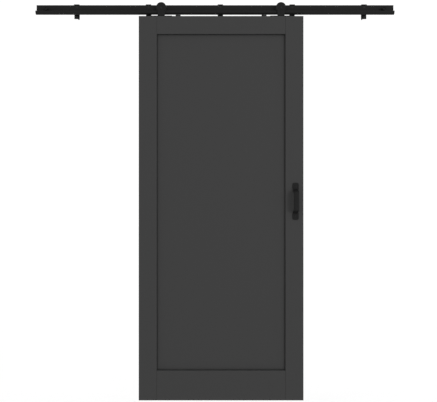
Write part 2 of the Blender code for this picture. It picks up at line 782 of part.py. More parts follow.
clear_scene()
PARTS = new_collection("barn_door_track")
CUTTERS = new_collection("cutters")
BLACK_STEEL = new_material("black_steel", (0.021, 0.021, 0.022), 0.45, 0.0)
BLACK_ZINC = new_material("black_zinc", (0.018, 0.018, 0.019), 0.35, 0.6)
BRIGHT_STEEL = new_material("bright_steel", (0.55, 0.55, 0.56), 0.3, 1.0)
RUBBER = new_material("rubber", (0.014, 0.014, 0.014), 0.8, 0.0)
NYLON = new_material("nylon", (0.020, 0.020, 0.021), 0.5, 0.0)
DOOR_PAINT = new_material("door_paint", (0.052, 0.052, 0.053), 0.55, 0.0)

track_pieces = make_rail()
for bracket_number, bracket_x in bracket_places():
    track_pieces.append(make_bracket(bracket_number, bracket_x))
    track_pieces.append(make_lag_screw(bracket_number, bracket_x))
    track_pieces.append(make_rail_bolt(bracket_number, bracket_x))
for stop_side, stop_sign in SIDES:
    track_pieces += make_stop(stop_side, stop_sign)
hang(track_pieces, anchor("track", (0, 0, 0)))

door_pieces = make_leaf() + [make_handle()] + make_handle_screws()
for door_side, door_sign in SIDES:
    door_pieces.append(make_strap(door_side, door_sign))
    door_pieces += make_foot_screws(door_side, door_sign)
    door_pieces += make_axle(door_side, door_sign)
    door_pieces += make_disc(door_side, door_sign)
door_anchor = anchor("door", (DOOR_CENTRE_X, DOOR_MIDDLE_Y, DOOR_TOP_Z))
hang(door_pieces, door_anchor)

for wheel_side, wheel_sign in SIDES:
    axle_point = (hanger_x(wheel_sign), TROUGH_Y, above_rail(AXLE_HEIGHT))
    wheel_anchor = anchor(f"wheel_{wheel_side}_axle", axle_point)
    hang(make_wheel(wheel_side, wheel_sign), wheel_anchor)
    hang([wheel_anchor], door_anchor)
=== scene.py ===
# %% [markdown]
# # A sliding barn door on its track
# A barn door hangs from two wheels that roll in a J-shaped steel rail. The rail is bolted to
# short brackets on the wall. The engineering model already fixes every place and size, so this
# lesson only dresses it: each visible piece gets a finer surface and a finish made of nodes.
# We load that model first and keep its box, to prove at the end that nothing has grown.

# %% Load the model
import json
import math

import bmesh
import bpy
import numpy as np
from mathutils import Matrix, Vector


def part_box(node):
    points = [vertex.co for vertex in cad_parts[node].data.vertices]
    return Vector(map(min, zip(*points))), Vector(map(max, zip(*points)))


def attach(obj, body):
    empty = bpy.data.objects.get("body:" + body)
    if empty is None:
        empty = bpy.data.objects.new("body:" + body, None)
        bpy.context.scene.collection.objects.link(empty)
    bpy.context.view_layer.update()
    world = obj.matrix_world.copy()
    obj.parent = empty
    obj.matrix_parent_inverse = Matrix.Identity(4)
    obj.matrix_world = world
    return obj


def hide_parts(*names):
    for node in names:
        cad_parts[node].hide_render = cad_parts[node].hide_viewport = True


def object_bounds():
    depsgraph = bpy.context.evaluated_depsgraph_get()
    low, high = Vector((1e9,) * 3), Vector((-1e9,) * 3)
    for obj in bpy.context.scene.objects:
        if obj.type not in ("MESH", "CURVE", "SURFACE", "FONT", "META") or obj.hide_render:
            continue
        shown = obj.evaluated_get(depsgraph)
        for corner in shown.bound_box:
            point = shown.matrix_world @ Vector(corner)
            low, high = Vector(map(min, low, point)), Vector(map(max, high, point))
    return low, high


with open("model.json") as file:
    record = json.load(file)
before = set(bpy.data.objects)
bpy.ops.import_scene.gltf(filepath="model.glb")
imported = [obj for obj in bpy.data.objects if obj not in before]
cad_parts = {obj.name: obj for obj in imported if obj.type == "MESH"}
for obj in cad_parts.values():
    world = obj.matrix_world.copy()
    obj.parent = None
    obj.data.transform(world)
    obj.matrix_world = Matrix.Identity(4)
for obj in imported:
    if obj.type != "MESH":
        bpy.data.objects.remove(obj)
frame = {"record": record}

cad_low, cad_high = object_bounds()
print("model box, metres:", [round(v, 4) for v in (*cad_low, *cad_high)])

# %% [markdown]
# The model's record says which moving body each node belongs to and which finish it carries.
# We turn both lists into dictionaries, so that a new piece can be told "stand in for this node"
# and pick up the rest by itself.

# %% Bodies and finishes by node
BODY_OF = {
    node: body
    for body, nodes in frame["record"]["behaviour"]["bodies"].items()
    for node in nodes
}
FINISH_OF = {entry["node"]: entry["material_slot"] for entry in frame["record"]["subparts"]}


def corners(node):
    """The lowest and highest corner of a model node, as two arrays."""
    low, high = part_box(node)
    return np.array(low), np.array(high)


# %% [markdown]
# ## Surfaces from arrays
# Every new piece is a grid: a ring of points carried through a row of stations. Two ideas cover
# this whole door. A *sweep* carries a flat outline along an axis, and a *turning* carries a
# profile around one. Both end in the same grid of quads, so one function builds the mesh. A
# closed mesh has a signed volume, and if it comes out negative the faces point inwards and are
# flipped.

# %% One grid builder for every piece


def grid_faces(rings, points, wrap_rings=False):
    """Quads between neighbouring rings; the points of a ring always close up on themselves."""
    i, j = np.meshgrid(np.arange(rings - (not wrap_rings)), np.arange(points), indexing="ij")
    here, there = i * points, (i + 1) % rings * points
    after = (j + 1) % points
    return np.stack((here + j, here + after, there + after, there + j), -1).reshape(-1, 4)


def signed_volume(mesh):
    """A sixth of the sum of each triangle's box product; above zero when faces point out."""
    mesh.calc_loop_triangles()
    place = np.empty(len(mesh.vertices) * 3)
    mesh.vertices.foreach_get("co", place)
    corner = np.empty(len(mesh.loop_triangles) * 3, np.int64)
    mesh.loop_triangles.foreach_get("vertices", corner)
    a, b, c = place.reshape(-1, 3)[corner.reshape(-1, 3)].transpose(1, 0, 2)
    return np.einsum("ij,ij->i", a, np.cross(b, c)).sum() / 6


def closed_mesh(name, points, faces):
    """A new object from points and faces, with its faces turned outwards."""
    mesh = bpy.data.meshes.new(name)
    mesh.from_pydata(points.reshape(-1, 3).tolist(), [], faces)
    mesh.update()
    if signed_volume(mesh) < 0:
        mesh.flip_normals()
    piece = bpy.data.objects.new(name, mesh)
    bpy.context.scene.collection.objects.link(piece)
    return piece


def solid(name, rings, wrap_rings=False):
    """A closed mesh from an array of rings, shaped (ring, point, xyz). The last ring joins the
    first, or else a cap closes each end; the first cap runs backwards, so that both face out."""
    count, points = rings.shape[:2]
    faces = grid_faces(count, points, wrap_rings).tolist()
    if not wrap_rings:
        faces.append(list(range(points))[::-1])
        faces.append(list(range((count - 1) * points, count * points)))
    return closed_mesh(name, rings, faces)


print("grid builder ready")

# %% [markdown]
# ## Outlines with soft corners
# Real edges are never knife sharp: sheet steel is tumbled, boards are sanded. So an outline
# rounds its corners with true arcs, and a sweep eases both of its ends by shrinking the outline
# along its own normals while it moves the last fraction of a millimetre.

# %% Outlines


def arc(centre, radius, start, end, steps):
    """Points on a circle from one angle to another, in degrees."""
    turn = np.radians(np.linspace(start, end, steps + 1))
    return np.array(centre) + radius * np.stack((np.cos(turn), np.sin(turn)), -1)


def rounded(corner_list, radius, steps=5):
    """A polygon whose corners become arcs. Each arc touches both sides at a distance of
    radius / tan(half angle) from the corner."""
    spots = np.array(corner_list, float)
    before = np.roll(spots, 1, 0) - spots
    after = np.roll(spots, -1, 0) - spots
    before /= np.linalg.norm(before, axis=1, keepdims=True)
    after /= np.linalg.norm(after, axis=1, keepdims=True)
    half = np.arccos(np.clip((before * after).sum(1), -1, 1)) / 2
    radii = np.broadcast_to(radius, len(spots))[:, None]
    middle = before + after
    middle /= np.linalg.norm(middle, axis=1, keepdims=True)
    hub = spots + middle * radii / np.sin(half)[:, None]
    reach = radii / np.tan(half)[:, None]
    first, last = spots + before * reach - hub, spots + after * reach - hub
    share = np.linspace(0, 1, steps + 1)[None, :, None]
    spread = (math.pi - 2 * half)[:, None, None]
    blend = np.sin((1 - share) * spread) * first[:, None] + np.sin(share * spread) * last[:, None]
    return (hub[:, None] + blend / np.sin(spread)).reshape(-1, 2)


def rectangle(low, high):
    """The four corners between two opposite ones."""
    return [(low[0], low[1]), (high[0], low[1]), (high[0], high[1]), (low[0], high[1])]


def outward(outline):
    """The outward normal at each point of a closed outline: the sum of its two sides'
    directions, turned a right angle and stretched so that both sides move out equally."""
    ahead, behind = np.roll(outline, -1, 0) - outline, outline - np.roll(outline, 1, 0)
    ahead /= np.linalg.norm(ahead, axis=1, keepdims=True)
    behind /= np.linalg.norm(behind, axis=1, keepdims=True)
    along = ahead + behind
    normal = np.stack((along[:, 1], -along[:, 0]), -1)
    square = np.stack((ahead[:, 1], -ahead[:, 0]), -1)
    normal /= np.maximum((normal * square).sum(1), 1e-9)[:, None]
    x, y = outline.T
    turning = np.sign((x * np.roll(y, -1) - np.roll(x, -1) * y).sum())
    return normal * turning


print("outline helpers ready")

# %% [markdown]
# A sweep only adds a station along the axis for each ring. A turning is the same grid with
# circles for its rings. One of its rings may also be a hexagon, which is all that heads, sockets
# and nuts need.

# %% Sweeps and turnings
AXES = {"x": (1, 2, 0), "y": (0, 2, 1), "z": (0, 1, 2)}
PIN_POINT = 2e-6


def swept(name, outline, low, high, axis, ease=0.0006, steps=3):
    """An outline carried along an axis. At each end it shrinks by ease * (1 - sin t) while it
    advances by ease * (1 - cos t), which is a quarter circle."""
    outline = np.array(outline, float)
    turn = np.linspace(0, math.pi / 2, steps + 1) if ease else np.array([math.pi / 2])
    inset, advance = ease * (1 - np.sin(turn)), ease * (1 - np.cos(turn))
    inset = np.concatenate((inset, inset[::-1]))
    station = np.concatenate((low + advance, (high - advance)[::-1]))
    flat = outline[None] - inset[:, None, None] * outward(outline)[None]
    u, v, w = AXES[axis]
    rings = np.empty((*flat.shape[:2], 3))
    rings[..., u], rings[..., v] = flat[..., 0], flat[..., 1]
    rings[..., w] = station[:, None]
    return solid(name, rings)


def around(sides):
    """Angles round a circle, as a row."""
    return np.linspace(0, 2 * math.pi, sides, endpoint=False)[None]


def ring_sizes(rows, turn):
    """Radii for rows of (radius, height, flats). Where flats is 1 the ring is a hexagon: its
    radius is r / cos(t), with the angle t folded into the span from -30 to 30 degrees."""
    fold = (turn + math.pi / 6) % (math.pi / 3) - math.pi / 6
    return np.maximum(rows[:, :1], PIN_POINT) * (1 + rows[:, 2:] * (1 / np.cos(fold) - 1))


def spun(name, size, height, centre, axis, hollow=False):
    """Rings about an axis: size[i, j] is the radius at height[i] and angle j."""
    turn = around(size.shape[1])
    u, v, w = AXES[axis.strip("-")]
    rings = np.empty((*size.shape, 3))
    rings[..., u], rings[..., v] = size * np.cos(turn), size * np.sin(turn)
    rings[..., w] = height[:, None] * (-1 if axis.startswith("-") else 1)
    return solid(name, rings + np.array(centre), hollow)


def turned(name, profile, centre, axis, sides=72, hollow=False):
    """A profile of (radius, height) or (radius, height, flats) spun about an axis. A hollow
    profile closes on itself; the others start and end on the axis."""
    rows = np.array([(*row, 0.0)[:3] for row in profile])
    return spun(name, ring_sizes(rows, around(sides)), rows[:, 1], centre, axis, hollow)


print("surface helpers ready")

# %% [markdown]
# ## Cutting and welding
# Holes are cut with Blender's exact Boolean. Its result is read back through the dependency
# graph and becomes the piece's own mesh, so no live modifier is left behind. Parts that a smith
# would weld are simply put into one mesh, each still closed, which never fails as a union can.

# %% Cut and weld helpers


def bake(piece):
    """Makes a piece's modifiers permanent by reading back the mesh they result in."""
    bpy.context.view_layer.update()
    result = piece.evaluated_get(bpy.context.evaluated_depsgraph_get())
    mesh = bpy.data.meshes.new_from_object(result)
    piece.modifiers.clear()
    piece.data = mesh
    mesh.name = piece.name
    return piece


def cut(piece, *tools):
    """Cuts the tools out of a piece and throws the tools away."""
    for tool in tools:
        step = piece.modifiers.new("cut", "BOOLEAN")
        step.operation = "DIFFERENCE"
        step.solver = "EXACT"
        step.object = tool
    bake(piece)
    for tool in tools:
        bpy.data.objects.remove(tool, do_unlink=True)
    return piece


def weld(piece, *others):
    """Adds other closed shells to a piece's mesh; they pass through each other like welded bar."""
    joined = bmesh.new()
    for part in (piece, *others):
        joined.from_mesh(part.data)
    joined.to_mesh(piece.data)
    joined.free()
    for part in others:
        bpy.data.objects.remove(part, do_unlink=True)
    return piece


print("cut and weld helpers ready")

# %% [markdown]
# ## Finishes as node formulas
# A shader is a formula, so it is written as one. `Value` wraps a socket and overloads the
# arithmetic signs: adding two values adds a Math node. `Recipe.node` makes any other node from
# its type, its settings and its inputs. Patterns read Object coordinates, which are plain metres
# here, so a scale of 900 means features of about a millimetre.

# %% Shader helpers


class Value:
    """A socket that can be added, subtracted and multiplied with numbers or other sockets."""

    def __init__(self, recipe, socket):
        self.recipe = recipe
        self.socket = socket

    def math(self, operation, other, flip=False):
        """One Math node for this value and another; flip swaps the two."""
        first, second = (other, self) if flip else (self, other)
        settings = {"operation": operation}
        return self.recipe.node("ShaderNodeMath", settings, {0: first, 1: second})

    def __add__(self, other):
        return self.math("ADD", other)

    def __radd__(self, other):
        return self.math("ADD", other, True)

    def __sub__(self, other):
        return self.math("SUBTRACT", other)

    def __rsub__(self, other):
        return self.math("SUBTRACT", other, True)

    def __mul__(self, other):
        return self.math("MULTIPLY", other)

    def __rmul__(self, other):
        return self.math("MULTIPLY", other, True)


class Recipe:
    """A material, with one method that adds any node and a few short ones for this door."""

    def __init__(self, name, **fixed):
        self.material = bpy.data.materials.new(name)
        self.material.use_nodes = True
        self.tree = self.material.node_tree
        self.shader = self.tree.nodes["Principled BSDF"]
        for socket, value in fixed.items():
            self.shader.inputs[socket.replace("_", " ")].default_value = value
        self.place = self.node("ShaderNodeTexCoord", {}, {}, "Object")

    def node(self, kind, settings, inputs, output=0):
        """Any node: its settings come first, then the numbers or links of its inputs."""
        made = self.tree.nodes.new(kind)
        for key, value in settings.items():
            setattr(made, key, value)
        for key, value in inputs.items():
            self.feed(made.inputs[key], value)
        return Value(self, made.outputs[output])

    def feed(self, socket, value):
        """Links a value to a socket, or writes a plain number or colour into it."""
        if isinstance(value, Value):
            self.tree.links.new(value.socket, socket)
        else:
            socket.default_value = value

    def stretched(self, scale):
        """Object coordinates multiplied by a scale for each axis."""
        settings = {"operation": "MULTIPLY"}
        return self.node("ShaderNodeVectorMath", settings, {0: self.place, 1: scale})

    def noise(self, scale, detail=2.0, roughness=0.5):
        """Noise between 0 and 1; a scale of three numbers stretches it along an axis."""
        inputs = {"Detail": detail, "Roughness": roughness}
        if isinstance(scale, tuple):
            inputs.update(Vector=self.stretched(scale), Scale=1.0)
        else:
            inputs.update(Vector=self.place, Scale=scale)
        return self.node("ShaderNodeTexNoise", {}, inputs)

    def blend(self, share, first, second):
        """A colour between two others: 0, 6, 7 and 2 are the Mix node's own colour sockets."""
        inputs = {0: share, 6: first, 7: second}
        return self.node("ShaderNodeMix", {"data_type": "RGBA"}, inputs, 2)

    def bump(self, height, distance, strength=1.0):
        """Tilts the normals as if the surface rose by height times distance."""
        inputs = {"Height": height, "Distance": distance, "Strength": strength}
        self.set(Normal=self.node("ShaderNodeBump", {}, inputs))

    def set(self, **links):
        """Feeds the shader's own sockets, named with underscores for spaces."""
        for socket, value in links.items():
            self.feed(self.shader.inputs[socket.replace("_", " ")], value)


def grey(level):
    """A neutral colour from one linear level."""
    return (level, level, level, 1.0)


print("shader helpers ready")

# %% [markdown]
# ### Painted door
# The leaf is sprayed with a dark grey satin paint. Three things keep it from looking like
# plastic: the faint grain that still telegraphs through, long in the direction of each board;
# the fine orange peel of the spray; and a slow drift in tone and sheen over the whole board. All
# of them stay small, because a fresh paint job is nearly even.

# %% Paint for upright and level boards


def door_paint(name, grain_scale, drift_scale):
    """Satin paint: its tone is 0.55 grain + 0.3 drift + 0.15 flecks, between two greys."""
    paint = Recipe(name, Specular_IOR_Level=0.15)
    grain = paint.noise(grain_scale, detail=4.0, roughness=0.6)
    drift = paint.noise(drift_scale)
    peel = paint.noise(700.0, detail=1.0)
    flecks = paint.noise(160.0, detail=3.0, roughness=0.7)
    tone = 0.55 * grain + 0.3 * drift + 0.15 * flecks
    paint.set(Base_Color=paint.blend(tone, grey(0.0298), grey(0.0320)))
    paint.set(Roughness=0.47 + 0.12 * drift + 0.06 * flecks)
    paint.bump(0.6 * grain + 0.4 * peel, distance=0.00012, strength=0.6)
    return paint.material


PAINT_UPRIGHT = door_paint("door_paint_upright_grain", (420.0, 420.0, 5.0), 2.3)
PAINT_LEVEL = door_paint("door_paint_level_grain", (5.0, 420.0, 420.0), 2.7)
PAINT_PANEL = door_paint("door_paint_panel", (260.0, 260.0, 3.0), 3.2)
print("three door paints mixed")

# %% [markdown]
# ### Black powder coat
# Rail, brackets, straps and pull are steel under a matt powder coat. The powder melts into a fine
# pebbled skin, so the bump is a tight noise and the roughness varies with the same noise: its
# crests are a touch glossier than its valleys.

# %% Powder coat
powder = Recipe("black_powder_coat", Specular_IOR_Level=0.08)
pebble = powder.noise(1300.0)
cloud = powder.noise(14.0)
powder.set(Base_Color=powder.blend(cloud, grey(0.0083), grey(0.0099)))
powder.set(Roughness=0.58 - 0.14 * pebble + 0.06 * cloud)
powder.bump(pebble, distance=0.00009, strength=0.7)
POWDER = powder.material
print("powder coat mixed from", len(powder.tree.nodes), "nodes")

# %% [markdown]
# ### Fasteners, bearings, rubber and nylon
# Bolts are blackened steel: partly metal, with rubbed spots that catch more light. Bearing parts
# are ground steel. The bumpers are dull rubber with a moulded grain, and the wheels and discs
# are black nylon with fine lines from the lathe.

# %% Small finishes
zinc = Recipe("black_zinc", Metallic=0.4, Specular_IOR_Level=0.2)
rubbed = zinc.noise(220.0, detail=3.0, roughness=0.65)
zinc.set(Base_Color=zinc.blend(rubbed, grey(0.008), grey(0.020)))
zinc.set(Roughness=0.30 + 0.22 * rubbed)
zinc.bump(zinc.noise(900.0), distance=0.00004, strength=0.5)
ZINC = zinc.material

ground = Recipe("ground_steel", Metallic=1.0)
scratch = ground.noise((900.0, 60.0, 900.0), detail=3.0, roughness=0.6)
ground.set(Base_Color=ground.blend(scratch, grey(0.42), grey(0.60)))
ground.set(Roughness=0.18 + 0.2 * scratch)
STEEL = ground.material

rubber = Recipe("bumper_rubber", Specular_IOR_Level=0.12)
skin = rubber.noise(850.0, detail=3.0, roughness=0.6)
rubber.set(Base_Color=rubber.blend(skin, grey(0.0045), grey(0.0085)))
rubber.set(Roughness=0.72 + 0.14 * skin)
rubber.bump(skin, distance=0.00012, strength=0.8)
RUBBER = rubber.material

nylon = Recipe("black_nylon", Specular_IOR_Level=0.2)
lathe = nylon.noise((90.0, 2600.0, 90.0))
nylon.set(Base_Color=nylon.blend(lathe, grey(0.006), grey(0.011)))
nylon.set(Roughness=0.36 + 0.16 * lathe)
nylon.bump(lathe, distance=0.00004, strength=0.5)
NYLON = nylon.material
print("zinc, ground steel, rubber and nylon mixed")

# %% [markdown]
# ### Handing a piece over
# `stand_for` finishes a piece. It gives it its material, lets it ride on the right body and hides
# the plain node that it replaces. Normals are weighted by face area, so that the small facets of
# a rounded edge blend while the large flats stay flat. It also notes how far the boxes of the
# piece and of its node differ, as a check for the end.

# %% Materials by finish, and the hand-over
MATERIAL_OF = {
    "black_steel": POWDER,
    "black_zinc": ZINC,
    "bright_steel": STEEL,
    "rubber": RUBBER,
    "nylon": NYLON,
    "door_paint": PAINT_UPRIGHT,
}
MISFIT = {}


def stand_for(piece, node, material=None, sharp=40):
    """Finishes a piece and lets it take a model node's place."""
    piece.data.shade_smooth()
    piece.data.set_sharp_from_angle(angle=math.radians(sharp))
    weights = piece.modifiers.new("weights", "WEIGHTED_NORMAL")
    weights.keep_sharp = True
    bake(piece)
    piece.data.materials.clear()
    piece.data.materials.append(material or MATERIAL_OF[FINISH_OF[node]])
    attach(piece, BODY_OF[node])
    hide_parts(node)
    place = np.array([corner[:] for corner in piece.bound_box])
    box = np.array((place.min(0), place.max(0)))
    MISFIT[node] = np.abs(box - np.array(corners(node))).max()
    return piece


print(len(bpy.data.materials), "materials")

# %% [markdown]
# ## The rail
# The rail is rolled from one strip of 3.5 mm steel: a straight web against the brackets, a round
# trough for the wheels and a short lip in front. Its section is one closed outline, made of two
# concentric half circles for the trough and a small half circle over each free edge. A sweep
# along X finishes it, and the holes are cut afterwards. A countersink is a cone of 45 degrees, so
# its depth is what its mouth is wider than its hole.

# %% Roll the rail and cut its holes
CLEARANCE = 0.0003
BOLT_HOLE = 0.0033
THROUGH = 0.02
SIDES = ("left", "right")


def drill(centre, reach=THROUGH, axis="y"):
    """A bolt hole's tool: a cylinder that reaches equally far to both sides of its centre."""
    profile = [(0, reach), (BOLT_HOLE, reach), (BOLT_HOLE, -reach), (0, -reach)]
    return turned("drill", profile, centre, axis, 32)


low, high = corners("rail")
sheet, lip_height = 0.0035, 0.0197
tip = sheet / 2
trough_radius = (high[1] - low[1]) / 2
trough_centre = (low[1] + trough_radius, low[2] + trough_radius)
section = np.concatenate(
    (
        arc(trough_centre, trough_radius, 0, -180, 40),
        arc((low[1] + tip, low[2] + lip_height - tip), tip, 180, 0, 8),
        arc(trough_centre, trough_radius - sheet, -180, 0, 32),
        arc((high[1] - tip, high[2] - tip), tip, 180, 0, 8),
    )
)
rail = swept("track_rail", section, low[0], high[0], "x", ease=0.0004)

web_front = high[1] - sheet
bolt_nodes = [node for node in BODY_OF if node.startswith("rail_bolt_")]
tools = []
for node in bolt_nodes:
    low, high = corners(node)
    middle, mouth, proud = (low + high) / 2, (high[0] - low[0]) / 2 + CLEARANCE, 0.004
    sink = [
        (0, proud),
        (mouth + proud, proud),
        (BOLT_HOLE, BOLT_HOLE - mouth),
        (BOLT_HOLE, -THROUGH),
        (0, -THROUGH),
    ]
    tools.append(turned("countersink", sink, (middle[0], web_front, middle[2]), "-y", 48))
for side in SIDES:
    low, high = corners(f"stop_bolt_{side}")
    middle = (low + high) / 2
    tools.append(drill((middle[0], web_front, middle[2]), axis="-y"))
cut(rail, *tools)
stand_for(rail, "rail")
print("rail:", len(rail.data.polygons), "faces")

# %% [markdown]
# ## Wall brackets
# Each bracket is a short length of one folded section: a plate on the wall, a pad that spaces the
# web off it and a ledge that hooks over the web's top edge. Because every bracket shares that
# section, one outline with rounded corners serves all five.

# %% Fold the brackets
BRACKETS = range(1, 6)
rail_low, rail_high = corners("rail")

for number in BRACKETS:
    node = f"wall_bracket_{number}"
    low, high = corners(node)
    x = (low[0] + high[0]) / 2
    pad_y, ledge_z, plate_y = rail_high[1] + CLEARANCE, rail_high[2] + CLEARANCE, -0.004
    slope_low, slope_high = rail_low[2] + 0.030, rail_low[2] + 0.034
    side_view = [
        (high[1], low[2]),
        (high[1], high[2]),
        (low[1], high[2]),
        (low[1], ledge_z),
        (pad_y, ledge_z),
        (pad_y, slope_high),
        (plate_y, slope_low),
        (plate_y, low[2]),
    ]
    outline = rounded(side_view, 0.0008)
    bracket = swept(f"folded_bracket_{number}", outline, low[0], high[0], "x", ease=0.0007)
    screw_low, screw_high = corners(f"lag_screw_{number}")
    bolt_low, bolt_high = corners(f"rail_bolt_{number}")
    screw_hole = drill((x, 0, (screw_low[2] + screw_high[2]) / 2))
    bolt_hole = drill((x, pad_y, (bolt_low[2] + bolt_high[2]) / 2), reach=0.010)
    stand_for(cut(bracket, screw_hole, bolt_hole), node)
print(len(BRACKETS), "brackets folded")

# %% [markdown]
# ## Lag screws
# A lag screw has a hexagon head on a flange and a coarse thread that cuts its own way into the
# timber. All of it is one surface of rings. The head's rings are hexagons, the flange's are
# circles, and the thread is a height field: the radius at angle t and depth z is the core plus a
# triangular ridge of (z / pitch - t / 2 pi). The ridge climbs one pitch a turn, so it meets
# itself without a seam, and it fades out at the smooth neck and at the point.

# %% Cut the threads
RINGS_PER_PITCH, RIDGE_SLOPE, THREAD_DEPTH = 10, 3.2, 0.22
NECK, FADE, POINT, TIP = 0.012, 0.004, 1.4, 0.02


def thread(start, end, radius, pitch, turn):
    """Ring depths and radii of a threaded shank between two depths: the radius is
    radius * (1 - THREAD_DEPTH * grown * (1 - ridge)) * point, each factor between 0 and 1."""
    depth = np.linspace(start, end, int((end - start) / pitch * RINGS_PER_PITCH))
    phase = (depth[:, None] / pitch - turn / (2 * math.pi)) % 1.0
    ridge = np.clip(1 - RIDGE_SLOPE * np.abs(phase - 0.5), 0, 1)
    grown = np.clip((depth[:, None] - start - NECK) / FADE, 0, 1)
    point = np.clip((end - depth[:, None]) / (POINT * radius), TIP, 1)
    return depth, radius * (1 - THREAD_DEPTH * grown * (1 - ridge)) * point


for number in BRACKETS:
    node = f"lag_screw_{number}"
    low, high = corners(node)
    middle, seat, turn = (low + high) / 2, low[1] + 0.0054, around(48)
    flats, flange, core = 0.0050, 0.0065, 0.0030
    head = np.array(
        [
            (0, low[1], 0),
            (flats - 0.0008, low[1], 0),
            (flats, low[1] + 0.0008, 1),
            (flats, seat - 0.0016, 1),
            (flange - 0.0005, seat - 0.0015, 0),
            (flange, seat - 0.0010, 0),
            (flange, seat - 0.0003, 0),
            (flange - 0.0003, seat, 0),
            (core, seat, 0),
        ]
    )
    depth, grooved = thread(seat + 0.0002, high[1], core, 0.0026, turn)
    size = np.concatenate((ring_sizes(head, turn), grooved))
    height = np.concatenate((head[:, 1], depth))
    screw = spun(f"coach_screw_{number}", size, height, (middle[0], 0, middle[2]), "y")
    stand_for(screw, node, sharp=25)
print(len(BRACKETS), "lag screws threaded")

# %% [markdown]
# ## Bolts, screws and nuts
# The other fasteners differ in their heads: countersunk or flat for the rail and the discs, domed
# for the axles, the hangers' feet and the pull. The hexagon socket needs no cutting, because it
# is three more rows of the same profile: its floor and its wall, marked as hexagons. A nut is a
# hexagon whose end faces are turned back to a circle, and that gives the curved chamfer a real
# nut has.

# %% Turn the heads and the nuts
SOCKET_CORNER = 0.61
FACED, NUT_EDGE = 0.96, 0.0010


def socketed(size, depth, top):
    """The rows of a hexagon socket: its centre, its floor and its mouth."""
    return [(0, top - depth), (size / 2, top - depth, 1), (size / 2, top, 1)]


def dome(radius, height, size, depth, steps=7):
    """A domed head with a socket: a quarter ellipse that starts just outside the socket's
    corners, which lie 0.577 of its size from the axis."""
    start = math.asin(SOCKET_CORNER * size / radius)
    turn = np.linspace(start, math.pi / 2, steps + 1)
    shell = np.stack((radius * np.sin(turn), height * np.cos(turn) / math.cos(start)), -1)
    return socketed(size, depth, height) + shell.tolist()


def shank(radius, start, end, taper=0.0, tip=0):
    """The rows of a shank that keeps its radius and then tapers to its tip."""
    rows = [(radius, start), (radius, end + taper), (tip, end)]
    return rows + [(0, end)] if tip else rows


def fasten(name, node, profile, axis, centre):
    """Turns a fastener and lets it take its node's place."""
    return stand_for(turned(name, profile, centre, axis), node)


def nut(name, node, across_flats, bore):
    """A chamfered nut along Y that fills the node's own box."""
    low, high = corners(node)
    half, tall = across_flats / 2, high[1] - low[1]
    rows = [(bore, 0), (half * FACED, 0), (half, NUT_EDGE, 1)]
    rows += [(half, tall - NUT_EDGE, 1), (half * FACED, tall), (bore, tall)]
    centre = ((low[0] + high[0]) / 2, low[1], (low[2] + high[2]) / 2)
    return stand_for(turned(name, rows, centre, "y", hollow=True), node, sharp=25)


for number, node in enumerate(bolt_nodes, 1):
    low, high = corners(node)
    middle, head, top = (low + high) / 2, (high[0] - low[0]) / 2, web_front - low[1]
    rows = socketed(size=0.004, depth=0.0022, top=top)
    rows += [(head - 0.0004, top), (head, top - 0.0003)]
    rows += shank(0.003, -0.003, low[1] - high[1])
    fasten(f"sunk_bolt_{number}", node, rows, "-y", (middle[0], web_front, middle[2]))

for side in SIDES:
    node = f"axle_bolt_{side}"
    low, high = corners(node)
    middle, seat = (low + high) / 2, corners(f"hanger_strap_{side}")[0][1] - CLEARANCE
    rows = dome(0.0065, seat - low[1], size=0.004, depth=0.0020)
    rows += shank(0.004, 0, seat - high[1], taper=0.0005, tip=0.0035)
    fasten(f"axle_screw_{side}", node, rows, "-y", (middle[0], seat, middle[2]))
    nut(f"axle_lock_nut_{side}", f"axle_nut_{side}", 0.013, 0.0041)

    for number in range(1, 5):
        node = f"foot_screw_{side}_{number}"
        low, high = corners(node)
        middle, seat = (low + high) / 2, high[2] - 0.0025
        rows = dome(0.0045, 0.0025, size=0.0025, depth=0.0014)
        rows += shank(0.00225, 0, low[2] - seat, taper=0.004)
        fasten(f"strap_screw_{side}_{number}", node, rows, "z", (middle[0], middle[1], seat))

    node = f"anti_jump_screw_{side}"
    low, high = corners(node)
    middle, length = (low + high) / 2, high[2] - low[2]
    rows = socketed(size=0.0025, depth=0.0014, top=0) + [(0.0042, 0), (0.0045, -0.0003)]
    rows += shank(0.00225, -0.0025, -length, taper=0.004)
    fasten(f"disc_screw_{side}", node, rows, "z", (middle[0], middle[1], high[2]))

    node = f"stop_bolt_{side}"
    low, high = corners(node)
    middle, length = (low + high) / 2, high[1] - low[1]
    rows = socketed(size=0.005, depth=0.0025, top=0)
    rows += [(0.0047, 0), (0.0052, -0.0005), (0.0052, -0.004)]
    rows += shank(0.003, -0.004, -length, taper=0.0005, tip=0.0026)
    fasten(f"bumper_bolt_{side}", node, rows, "-y", (middle[0], low[1], middle[2]))
    nut(f"bumper_nut_{side}", f"stop_nut_{side}", 0.010, 0.0031)

for end in ("top", "bottom"):
    node = f"handle_screw_{end}"
    low, high = corners(node)
    middle, seat = (low + high) / 2, low[1] + 0.0022
    rows = dome(0.004, 0.0022, size=0.0025, depth=0.0013)
    rows += shank(0.002, 0, seat - high[1], taper=0.003)
    fasten(f"pull_screw_{end}", node, rows, "-y", (middle[0], seat, middle[2]))
print("twenty-one heads and four nuts turned")

# %% [markdown]
# ## End stops
# A rubber cylinder on a bolt stops each wheel. Moulded rubber has generous radii and a shallow
# groove round it, so the profile is drawn with arcs rather than corners.

